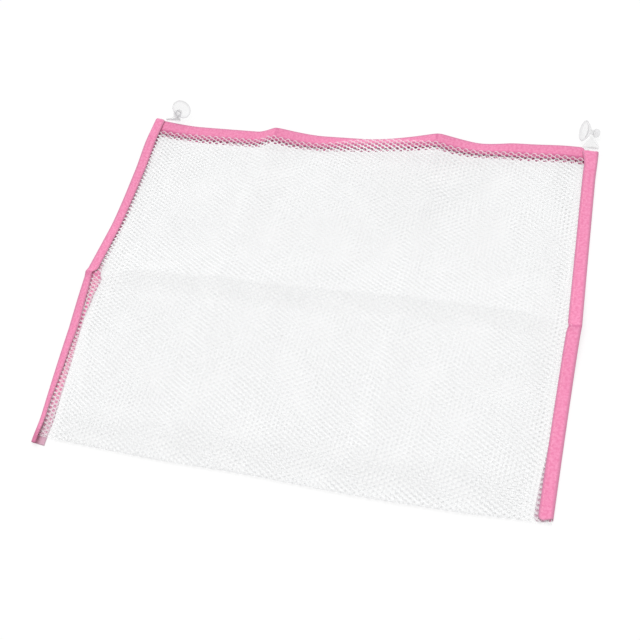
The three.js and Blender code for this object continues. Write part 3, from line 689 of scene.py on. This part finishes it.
# Each row of three below says how much, from what height, and over what run, which is below 0 if it goes down
RIGHT_TOP_SPREAD = (4.0, 165.0, 22.0)  # the right tape's front half widens at its top end
RIGHT_BACK_SPREAD = (3.2, -115.0, -60.0)  # and its back half at its bottom end
END_FLARE = (2.2, -158.0, -32.0)  # the left tape's bottom end bends outwards
END_OPEN = (math.radians(30), -140.0, -45.0)  # and its front half stands open there
FOLD_SLACK = 0.57  # a quarter turn is longer than its radius by this share of it
PINCH_RUN, PINCH_IN = 5.0, 0.9  # the cross crease draws the tapes in
LEFT_PINCH_UP, RIGHT_PINCH_UP = 1.6, 0.8  # and pushes them up


def grow(y, amount, foot, run):
    return amount * ease((y - foot) / run)


def half_width(side, across, y):
    """Width of one half of a binding: the left one was folded off its middle below the cross crease."""
    if side > 0 and across > 0:
        return BINDING_HALF + grow(y, *RIGHT_TOP_SPREAD)
    if side > 0:
        return BINDING_HALF + grow(y, *RIGHT_BACK_SPREAD)
    widths = LEFT_FRONT_WIDTHS if across > 0 else LEFT_BACK_WIDTHS
    for (high, wide), (low, narrow) in zip(widths, widths[1:]):
        if y >= low:
            return narrow + (wide - narrow) * ease((y - low) / (high - low))
    return widths[-1][1]


def side_tape_point(side, across, y, proud=0.0):
    """A point of a side tape: across goes from -1, the back half's edge, over the fold at 0 to 1 in front."""
    radius = STACK / 2 + band_step(y) - TAPE_THICKNESS / 2
    reach = half_width(side, across, y)
    pinch = ridge((y - crease_height(side * HALF_WIDTH)) / PINCH_RUN)
    reach -= PINCH_IN * pinch
    angle = grow(y, *END_OPEN) if side < 0 and across > 0 else 0.0
    depth, rise = round_fold(across * (reach + FOLD_SLACK * radius), radius, angle)
    x = side * (HALF_WIDTH - TAPE_THICKNESS / 2 - depth)
    if side < 0:
        x -= grow(y, *END_FLARE)
    up = (LEFT_PINCH_UP if side < 0 else RIGHT_PINCH_UP) * pinch
    return lay(x, y, STACK / 2 + rise + up + math.copysign(proud, across))


print("left tape's front half is", [round(half_width(-1, 1, y), 1) for y in (TOP, 0, -TOP)], "mm wide")

# %% Ends of the bindings
TOP_RUN, BOTTOM_RUN = 12.0, 14.0  # how much of a tape each cut end bends
LEFT_FOLD_ROUND, RIGHT_FOLD_ROUND, EDGE_ROUND = 2.6, 0.9, 1.2  # how far the upper corners are rounded off
CORNER_SHARE = 0.3  # of the width, that a rounded corner takes up
EDGE_CORNER = 2.3  # where the free edge's corner starts, counted in such shares from the fold
RIGHT_TOP_SKEW = 6.0
LEFT_CUT, LEFT_SKEW = 1.2, 1.6
RIGHT_FRONT_CUT, RIGHT_BACK_CUT, RIGHT_SKEW = 3.0, 1.8, 4.0
INNER_ROUND, INNER_START = 4.4, 0.62


def end_of_tape(side, across, y):
    """The ends are cut a little askew, the right one's inner corner and both upper corners are rounded off."""
    across, front = abs(across), across > 0
    near_bottom = clamp((BOTTOM_RUN - TOP - y) / BOTTOM_RUN)
    fold_corner = clamp(1 - across / CORNER_SHARE) ** 2
    edge_corner = clamp(across / CORNER_SHARE - EDGE_CORNER) ** 2
    rounded = (LEFT_FOLD_ROUND if side < 0 else RIGHT_FOLD_ROUND) * fold_corner + EDGE_ROUND * edge_corner
    y -= clamp((y - TOP + TOP_RUN) / TOP_RUN) * rounded
    if side < 0:
        return y + near_bottom * (LEFT_CUT - LEFT_SKEW * across)
    y -= RIGHT_TOP_SKEW * across * clamp((y - TOP + TOP_RUN) / TOP_RUN)
    inner = max(0.0, across - INNER_START) / (1 - INNER_START)
    cut = RIGHT_FRONT_CUT if front else RIGHT_BACK_CUT
    return y + near_bottom * (cut - RIGHT_SKEW * across + INNER_ROUND * inner ** 2)


print("right tape's top ends at", [round(end_of_tape(1, a, TOP), 1) for a in (0, 0.5, 1)], "mm across its front")

# %% Painted pale grey and painted shade on the bindings
LEFT_PAINTED_PALE = ((0.75, -173.5, -5.0), (0.5, -8.0, 12.0), (0.6, -125.0, -35.0))
RIGHT_PAINTED_PALE = ((0.5, -173.5, -5.0), (0.9, -105.0, -25.0))
RIGHT_END_PAINTED_PALE = ((0.4, -185.5, -2.0),)
BACK_START = -0.2  # across the tape, where its back half begins to show
LEFT_SHADE, RIGHT_SHADE = (0.5, -169.5, -10.0), (0.3, -130.0, 30.0)


def painted_pale_at(side, across, y):
    """The back halves, and the right tape's bottom end, are painted a pale grey where they show: painted light in
    place of the shade they lie in.
    """
    if across > BACK_START:
        patches = RIGHT_END_PAINTED_PALE if side > 0 else ()
    else:
        patches = LEFT_PAINTED_PALE if side < 0 else RIGHT_PAINTED_PALE
    return max((grow(y, *patch) for patch in patches), default=0.0)


def shade_left(across, y, from_edge):
    """The left tape's front half is painted darker at its bottom end, a painted shade where it stands open."""
    return grow(y, *LEFT_SHADE) if across > 0 else 0.0


def shade_right(across, y, from_edge):
    """The right tape's back half is painted darker, a painted shade where it lies under the net."""
    return grow(y, *RIGHT_SHADE) if across < -1 else 0.0


# %% Side bindings
for name, side in (("left", -1), ("right", 1)):
    bm = flat_strip(BINDING_HALF, 2 * TOP, TAPE_COLUMNS, BINDING_ROWS, (crease_height(side * HALF_WIDTH),),
                    shade_left if side < 0 else shade_right)
    edge, painted_pale = bm.verts.layers.float["edge"], bm.verts.layers.float["painted_pale"]
    for vert in bm.verts:
        across = vert.co.x / BINDING_HALF
        vert[edge] *= half_width(side, across, vert.co.y) / BINDING_HALF
        vert[painted_pale] = painted_pale_at(side, across, vert.co.y)
        vert.co = side_tape_point(side, across, end_of_tape(side, across, vert.co.y))
    bmesh.ops.recalc_face_normals(bm, faces=bm.faces)
    tape = finish_piece(f"{name}_binding", bm, pink, "pouch", (f"{name}_side_tape",))
    thicken(tape, TAPE_THICKNESS * MM)


# %% Mouth band
BAND_STACK = 2.0
BAND_HALF = BAND_WIDTH + 0.3  # the fold takes up a little of the front half
BACK_SHARE = 1.16  # the band is folded off its middle, so its back half reaches lower than its front
PLAIN_DARKENING, BACK_SHADE, NET_SHADE, SHADE_RUN = 0.1, 0.3, 0.75, 4.0  # how much darker the band is painted: a little on its plain front, then painted shade on its back half and most under the net, and how softly that ends
COVERED, COVERED_MORE = 7.5, 4.5  # how much of the band the front panel covers, and how much more where it bows


def band_point(across, x, proud=0.0):
    radius = (BAND_STACK - TAPE_THICKNESS) / 2
    depth, rise = round_fold(across, radius)
    y = TOP - TAPE_THICKNESS / 2 - depth - corner_drop(x) * clamp(1 - depth / BAND_WIDTH)
    return lay(x, y, BAND_STACK / 2 + rise + math.copysign(proud, across))


def band_shade_at(across, x, from_edge):
    """How much darker the band is painted: a little on its plain front, more on its back half, and most under the
    front panel, which covers more of it where it bows; on the back half and under the panel this is painted shade.
    """
    if across < -1:
        return BACK_SHADE
    covered = COVERED + COVERED_MORE * (1 - ease(abs(x - BOW_X) / BOW_SPREAD))
    return PLAIN_DARKENING + NET_SHADE * ease((covered - from_edge) / SHADE_RUN)


bm = flat_strip(BAND_HALF, 2 * NET_EDGE, TAPE_COLUMNS, BAND_ROWS, (LEFT_CREASE_X, RIGHT_CREASE_X), band_shade_at)
for vert in bm.verts:
    vert.co = band_point(vert.co.x * (BACK_SHARE if vert.co.x < 0 else 1.0), vert.co.y)
bmesh.ops.recalc_face_normals(bm, faces=bm.faces)
band = finish_piece("mouth_band_tape", bm, pink, "pouch", ("mouth_band",))
thicken(band, TAPE_THICKNESS * MM)

# %% [markdown]
# ## Stitching
# A row of lockstitch close to the free edge holds each tape. Thread could be a bevelled curve, but
# only the short bars on the surface ever show. Each bar is a small ball of few faces stretched along the
# row, and sinks a little at both ends where the thread dives into the tape.

# %% Stitches along the tapes
STITCH_PITCH, STITCH_LENGTH, STITCH_WIDTH = 3.2, 2.5, 0.55
STITCH_INSET = 2.0  # from the band's free edge
SIDE_ROW = 0.8  # the row's place across each half of a side binding
ROW_FOOT, ROW_HEAD = 6.0, 2.0  # how far a side row stays from the tape's ends


def add_stitch(bm, start, end):
    along = (end - start).to_track_quat("Z", "Y").to_matrix().to_4x4()
    size = Matrix.Diagonal((STITCH_WIDTH / 2 * MM, STITCH_WIDTH / 2 * MM, (end - start).length / 2, 1.0))
    bmesh.ops.create_uvsphere(bm, u_segments=6, v_segments=4, radius=1.0,
                              matrix=Matrix.Translation((start + end) / 2) @ along @ size)


def stitch_row(name, point, low, high):
    """Stitches on both faces of a tape; point(across sign, place, proud) gives a place on it."""
    bm = bmesh.new()
    count = int((high - low) / STITCH_PITCH)
    for face in (1, -1):
        for k in range(count):
            place = low + (k + 0.5) * STITCH_PITCH
            ends = [point(face, place + s * STITCH_LENGTH / 2, TAPE_THICKNESS / 2) for s in (-1, 1)]
            add_stitch(bm, *ends)
    return finish_piece(name, bm, thread, "pouch")


for name, side in (("left", -1), ("right", 1)):
    stitch_row(f"{name}_binding_stitches",
               lambda face, y, proud, side=side: side_tape_point(side, face * SIDE_ROW, y, proud),
               -TOP + ROW_FOOT, TOP - ROW_HEAD)
stitch_row("mouth_band_stitches",
           lambda face, x, proud: band_point(face * (BAND_WIDTH - STITCH_INSET), x, proud),
           TAPE_WIDTH - HALF_WIDTH, HALF_WIDTH - TAPE_WIDTH)

# %% [markdown]
# ## Suction cups
# A suction cup is moulded in one piece: a thin bell with a hollow, a neck, and a mushroom knob that snaps
# through a loop. It is round about its own axis, so half its outline is drawn once and spun. A lathe of
# straight lines would show rings in clear plastic, so the outline follows curves with many short steps.

# %% Outline of half a cup
CUP_RADIUS, CUP_HEIGHT, CAVITY_DEPTH = 10.0, 7.0, 4.4
LIP_WIDTH, LIP_THICKNESS = 1.3, 0.8
NECK_RADIUS, NECK_LENGTH = 2.2, 4.6
KNOB_RADIUS, KNOB_LENGTH = 4.2, 5.0
NECK_FLARE, NECK_SINK, NECK_FILLET, KNOB_FILLET = 0.5, 0.2, 0.6, 0.3
CAVITY_FULL, BELL_IN, BELL_UP, KNOB_FACE, KNOB_SIDE = 0.55, 0.62, 0.78, 0.8, 0.3  # shares of the sizes above
SPIN_STEPS = 64


def bend(a, b, c, steps):
    """Points of a curve from a to c that leans towards b, without its first point."""
    return [(1 - t) ** 2 * Vector(a) + 2 * t * (1 - t) * Vector(b) + t * t * Vector(c)
            for t in ((k + 1) / steps for k in range(steps))]


neck_top = CUP_HEIGHT + NECK_LENGTH
knob_top = neck_top + KNOB_LENGTH
hollow, lip_inside, lip_outside = (0, CAVITY_DEPTH), (CUP_RADIUS - LIP_WIDTH, 0), (CUP_RADIUS, LIP_THICKNESS)
bell_top, neck_foot = (NECK_RADIUS + NECK_FLARE, CUP_HEIGHT - NECK_SINK), (NECK_RADIUS, CUP_HEIGHT + NECK_FILLET)
knob_side = (KNOB_RADIUS, neck_top + KNOB_LENGTH * KNOB_SIDE)
outline = [Vector(hollow)]
outline += bend(hollow, (CUP_RADIUS * CAVITY_FULL, CAVITY_DEPTH), lip_inside, 16)
outline += bend(lip_inside, (CUP_RADIUS + 0.1, -0.05), lip_outside, 6)  # leans just past the lip to round it
outline += bend(lip_outside, (CUP_RADIUS * BELL_IN, CUP_HEIGHT * BELL_UP), bell_top, 16)
outline += bend(bell_top, (NECK_RADIUS, CUP_HEIGHT), neck_foot, 4)
outline += bend((NECK_RADIUS, neck_top - KNOB_FILLET), (NECK_RADIUS, neck_top),
                (NECK_RADIUS + KNOB_FILLET, neck_top), 3)
outline += bend((KNOB_RADIUS * KNOB_FACE, neck_top), (KNOB_RADIUS, neck_top), knob_side, 5)
outline += bend(knob_side, (KNOB_RADIUS, knob_top), (0, knob_top), 14)
print("cup outline has", len(outline), "points")


# %% Spun cups
RIM_HAZE, BELL_HAZE, KNOB_HAZE = 0.2, 0.04, 0.14  # how milky the thick lip, the bell and the knob look
RIM_MARGIN, RIM_RUN, KNOB_RUN = 0.4, 0.8, 1.5  # how softly that changes


def suction_cup(name, joint, body, node):
    bm = bmesh.new()
    verts = [bm.verts.new((p.x * MM, 0, p.y * MM)) for p in outline]
    edges = [bm.edges.new(pair) for pair in zip(verts, verts[1:])]
    bmesh.ops.spin(bm, geom=verts + edges, cent=(0, 0, 0), axis=(0, 0, 1), angle=2 * math.pi,
                   steps=SPIN_STEPS, use_merge=True)
    bmesh.ops.remove_doubles(bm, verts=bm.verts, dist=1e-6)
    bmesh.ops.recalc_face_normals(bm, faces=bm.faces)
    thick = bm.verts.layers.float.new("thick")
    for vert in bm.verts:
        from_axis, height = vert.co.to_2d().length / MM, vert.co.z / MM
        vert[thick] = max(BELL_HAZE, RIM_HAZE * ease((from_axis - CUP_RADIUS + LIP_WIDTH + RIM_MARGIN) / RIM_RUN),
                          KNOB_HAZE * ease((height - CUP_HEIGHT) / KNOB_RUN))
    axis = Vector(joint["axis"]).normalized()
    mouth_place = Vector(joint["pos_m"]) - axis * (CUP_HEIGHT + NECK_LENGTH / 2) * MM
    pose = Matrix.Translation(mouth_place) @ axis.to_track_quat("Z", "Y").to_matrix().to_4x4()
    bmesh.ops.transform(bm, verts=bm.verts, matrix=pose)
    return finish_piece(name, bm, clear, body, (node,))


for name in ("left", "right"):
    suction_cup(f"{name}_clear_cup", joints[f"{name}_cup_spin"], f"{name}_cup", f"{name}_suction_cup")

# %% [markdown]
# ## Clear band loops
# Each cup hangs in a loop of clear band: two legs, wide where the side tape's end grips them and narrow at
# the neck, and an eye round the neck. A path of stations is found first. Then a flat grid is
# carried along it, one row to each station, and solidified to the band's thickness. A loop bends at a bead on
# the pouch's edge. The right one's ends show for a little way below its bead before the tape covers them, and
# stay still when the loop bends, so they are a small flat piece that rides on the pouch.

# %% Band loops
LOOP_THICKNESS, LOOP_ROOT_WIDTH, LOOP_EYE_WIDTH = 0.8, 15.0, 3.5
EYE_ROOM = 0.4  # between the eye and the neck that turns in it
EYE_RADIUS = NECK_RADIUS + EYE_ROOM + LOOP_THICKNESS / 2
LEG_GAP = 0.75 * LOOP_THICKNESS  # from the middle to each leg
CROSS_STEPS, LEG_STEPS, EYE_STEPS, SEWN_STEPS, BEAD_STEPS = 6, 10, 28, 8, 20
BEAD_RADIUS, BEAD_BEVEL = 1.3, 0.4
SEWN_START = BEAD_RADIUS + 0.1  # the right loop's sewn ends begin just below the bead that it bends at
SEWN_DEPTH, SEWN_SINK, SEWN_WIDTH = 8.6, 2.3, 13.5  # along, down and across
LOOP_HAZE = {"left": 0.1, "right": -0.1}  # the left band is bunched and looks milkier


def loop_stations(root, neck, axis):
    """Place, crosswise direction and width at each station, from one sewn end round the neck to the other."""
    crosswise = axis * math.copysign(1, axis.x)
    reach = neck - root
    out = (reach - crosswise * reach.dot(crosswise)).normalized()
    up = crosswise.cross(out)
    turn = math.pi - math.atan2(LEG_GAP, reach.length) - math.acos(EYE_RADIUS / math.hypot(reach.length, LEG_GAP))
    eye = [neck + EYE_RADIUS * (out * math.cos(a) + up * math.sin(a))
           for a in (turn * (1 - 2 * k / EYE_STEPS) for k in range(EYE_STEPS + 1))]
    narrow = 1 - (KNOB_RADIUS + LOOP_THICKNESS) / reach.length  # the band is narrow from here to pass the knob

    def leg(end, side):
        start = root + up * side * LEG_GAP
        for t in (k / LEG_STEPS for k in range(LEG_STEPS)):
            yield (start.lerp(end, t * narrow), Vector((1, 0, 0)).lerp(crosswise, t).normalized(),
                   LOOP_ROOT_WIDTH + (LOOP_EYE_WIDTH - LOOP_ROOT_WIDTH) * ease(t))

    return (list(leg(eye[0], 1)) + [(place, crosswise, LOOP_EYE_WIDTH) for place in eye]
            + list(leg(eye[-1], -1))[::-1])


def set_haze(bm, haze):
    thick = bm.verts.layers.float.new("thick")
    for vert in bm.verts:
        vert[thick] = haze


def band_loop(name, root, neck, axis, haze, body, node):
    stations = loop_stations(root, neck, axis)
    bm = bmesh.new()
    rows = len(stations) - 1
    bmesh.ops.create_grid(bm, x_segments=CROSS_STEPS, y_segments=rows, size=0.5)
    for vert in bm.verts:
        place, crosswise, width = stations[round((vert.co.y + 0.5) * rows)]
        vert.co = (place + crosswise * vert.co.x * width) * MM
    bmesh.ops.recalc_face_normals(bm, faces=bm.faces)
    bmesh.ops.solidify(bm, geom=bm.faces[:], thickness=LOOP_THICKNESS * MM)
    place = Matrix.Translation(root * MM) @ Matrix.Rotation(math.pi / 2, 4, "Y")
    bead = bmesh.ops.create_cone(bm, cap_ends=True, segments=BEAD_STEPS, radius1=BEAD_RADIUS * MM,
                                 radius2=BEAD_RADIUS * MM, depth=LOOP_ROOT_WIDTH * MM, matrix=place)["verts"]
    rims = [e for e in dict.fromkeys(e for v in bead for e in v.link_edges)
            if len(e.link_faces) == 2 and max(len(f.verts) for f in e.link_faces) > 4]
    bmesh.ops.bevel(bm, geom=rims, offset=BEAD_BEVEL * MM, segments=3, profile=0.5, affect="EDGES", material=-1)
    set_haze(bm, haze)
    return finish_piece(name, bm, clear, body, (node,))


def sewn_end(name, root, haze):
    """The ends of a loop lie flat on each other below its bend, and the side tape's end grips them."""
    bm = bmesh.new()
    bmesh.ops.create_grid(bm, x_segments=CROSS_STEPS, y_segments=SEWN_STEPS, size=0.5)
    for vert in bm.verts:
        t = 0.5 - vert.co.y
        below = Vector((vert.co.x * SEWN_WIDTH, -SEWN_START - SEWN_DEPTH * t, -SEWN_SINK * ease(t)))
        vert.co = (root + below) * MM
    bmesh.ops.recalc_face_normals(bm, faces=bm.faces)
    bmesh.ops.solidify(bm, geom=bm.faces[:], thickness=LOOP_THICKNESS * MM)
    set_haze(bm, haze)
    return finish_piece(name, bm, clear, "pouch")


for name in ("left", "right"):
    spin, flex = joints[f"{name}_cup_spin"], joints[f"{name}_loop_flex"]
    band_loop(f"{name}_clear_loop", Vector(flex["pos_m"]) / MM, Vector(spin["pos_m"]) / MM,
              Vector(spin["axis"]).normalized(), LOOP_HAZE[name], f"{name}_loop", f"{name}_cup_loop")
sewn_end("right_loop_sewn_end", Vector(joints["right_loop_flex"]["pos_m"]) / MM, LOOP_HAZE["right"])
